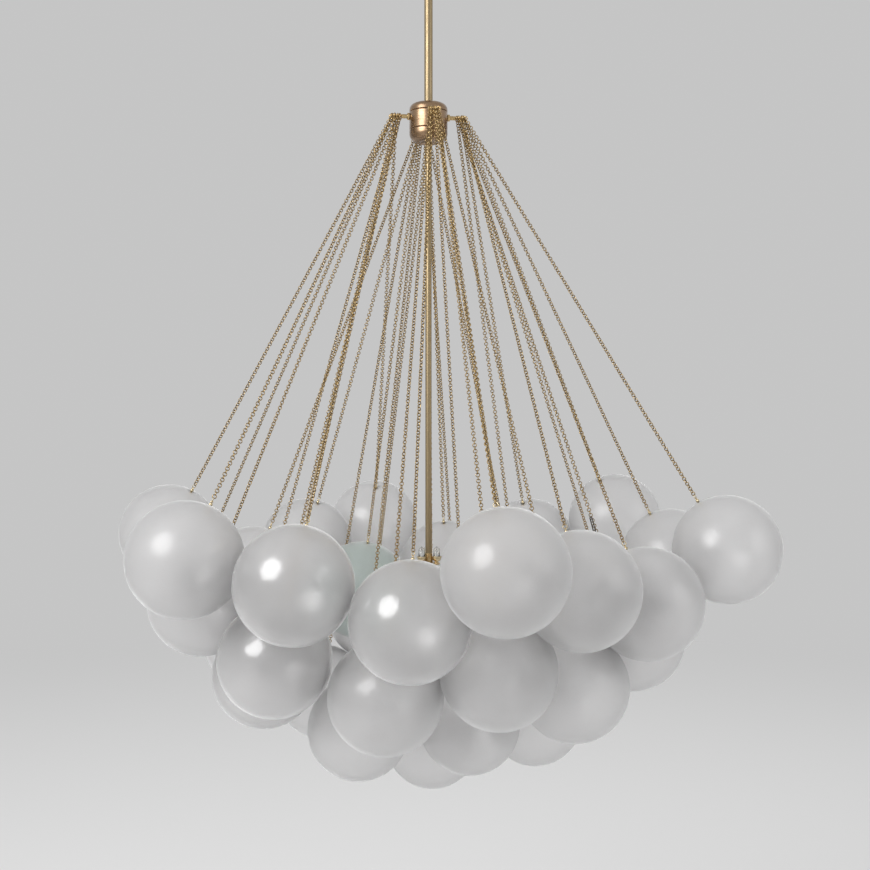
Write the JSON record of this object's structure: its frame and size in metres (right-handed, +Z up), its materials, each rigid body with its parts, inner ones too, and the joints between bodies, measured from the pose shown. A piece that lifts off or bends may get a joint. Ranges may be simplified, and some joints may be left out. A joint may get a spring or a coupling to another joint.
{
  "type": "glass globe chandelier",
  "caption": "Chandelier of frosted glass globes hung on brass chains in a bowl-shaped cluster below a turned brass hub, around lamps on a central stem.",
  "frame": {"origin": "middle of the ceiling bracket's top face, where it meets the ceiling", "axes": "+Z up; seen along +Y, with +X to the right, it stands as in the picture"},
  "size_m": [0.956, 0.8963, 1.3759],
  "materials": {
    "aged_brass": "aged, softly polished",
    "frosted_glass": "etched outside, translucent white",
    "lamp_glass": "satin",
    "zinc_plated_steel": "zinc plated"
  },
  "bodies": {
    "fixed_frame": {"back_arm_chains": "aged_brass", "bulb_1": "lamp_glass", "bulb_2": "lamp_glass", "bulb_3": "lamp_glass", "canopy": "aged_brass", "ceiling_bracket": "zinc_plated_steel", "front_arm_chains": "aged_brass", "globe_back_3": "frosted_glass", "globe_back_4": "frosted_glass", "globe_back_5": "frosted_glass", "globe_back_7": "frosted_glass", "globe_back_8": "frosted_glass", "globe_front_10": "frosted_glass", "globe_front_2": "frosted_glass", "globe_front_4": "frosted_glass", "globe_front_6": "frosted_glass", "globe_front_8": "frosted_glass", "globe_front_9": "frosted_glass", "globe_left_1": "frosted_glass", "globe_left_2": "frosted_glass", "globe_left_3": "frosted_glass", "globe_left_4": "frosted_glass", "globe_left_5": "frosted_glass", "globe_left_6": "frosted_glass", "globe_left_7": "frosted_glass", "globe_left_8": "frosted_glass", "globe_right_1": "frosted_glass", "globe_right_2": "frosted_glass", "globe_right_3": "frosted_glass", "globe_right_4": "frosted_glass", "globe_right_6": "frosted_glass", "globe_right_7": "frosted_glass", "globe_right_8": "frosted_glass", "globe_right_9": "frosted_glass", "hub_body": "aged_brass", "hub_bottom_cap": "aged_brass", "hub_top_cap": "aged_brass", "lamp_cluster": "aged_brass", "left_arm_chains": "aged_brass", "lower_stem": "aged_brass", "right_arm_chains": "aged_brass", "upper_stem": "aged_brass"},
    "hanging_globe_back_1": {"chain_back_1": "aged_brass", "globe_back_1": "frosted_glass"},
    "hanging_globe_back_2": {"chain_back_2": "aged_brass", "globe_back_2": "frosted_glass"},
    "hanging_globe_back_6": {"chain_back_6": "aged_brass", "globe_back_6": "frosted_glass"},
    "hanging_globe_front_1": {"chain_front_1": "aged_brass", "globe_front_1": "frosted_glass"},
    "hanging_globe_front_3": {"chain_front_3": "aged_brass", "globe_front_3": "frosted_glass"},
    "hanging_globe_front_5": {"chain_front_5": "aged_brass", "globe_front_5": "frosted_glass"},
    "hanging_globe_front_7": {"chain_front_7": "aged_brass", "globe_front_7": "frosted_glass"},
    "hanging_globe_right_5": {"chain_right_5": "aged_brass", "globe_right_5": "frosted_glass"}
  },
  "joints": [
    {"name": "globe_back_1_swing", "type": "hinge", "parent": "fixed_frame", "child": "hanging_globe_back_1", "pos_m": [-0.01203, 0.05146, -0.35763], "axis": [0.7578, 0.6525, 0], "range_deg": [0, 8]},
    {"name": "globe_back_2_swing", "type": "hinge", "parent": "fixed_frame", "child": "hanging_globe_back_2", "pos_m": [-0.05186, -0.00292, -0.3576], "axis": [0.5921, 0.8059, 0], "range_deg": [0, 8]},
    {"name": "globe_back_6_swing", "type": "hinge", "parent": "fixed_frame", "child": "hanging_globe_back_6", "pos_m": [0.05131, 0.01229, -0.35761], "axis": [0.6796, -0.7336, 0], "range_deg": [0, 8]},
    {"name": "globe_front_1_swing", "type": "hinge", "parent": "fixed_frame", "child": "hanging_globe_front_1", "pos_m": [0.00912, -0.05302, -0.35762], "axis": [-0.9683, -0.25, 0], "range_deg": [0, 8]},
    {"name": "globe_front_3_swing", "type": "hinge", "parent": "fixed_frame", "child": "hanging_globe_front_3", "pos_m": [0.05308, 0.00553, -0.3576], "axis": [-0.2149, -0.9766, 0], "range_deg": [0, 8]},
    {"name": "globe_front_5_swing", "type": "hinge", "parent": "fixed_frame", "child": "hanging_globe_front_5", "pos_m": [-0.05327, -0.007, -0.3576], "axis": [0.3187, 0.9478, 0], "range_deg": [0, 8]},
    {"name": "globe_front_7_swing", "type": "hinge", "parent": "fixed_frame", "child": "hanging_globe_front_7", "pos_m": [-0.05157, -0.01196, -0.35762], "axis": [-0.6397, 0.7687, 0], "range_deg": [0, 8]},
    {"name": "globe_right_5_swing", "type": "hinge", "parent": "fixed_frame", "child": "hanging_globe_right_5", "pos_m": [-0.00623, 0.05315, -0.35763], "axis": [0.9898, -0.1427, 0], "range_deg": [0, 5]}
  ]
}
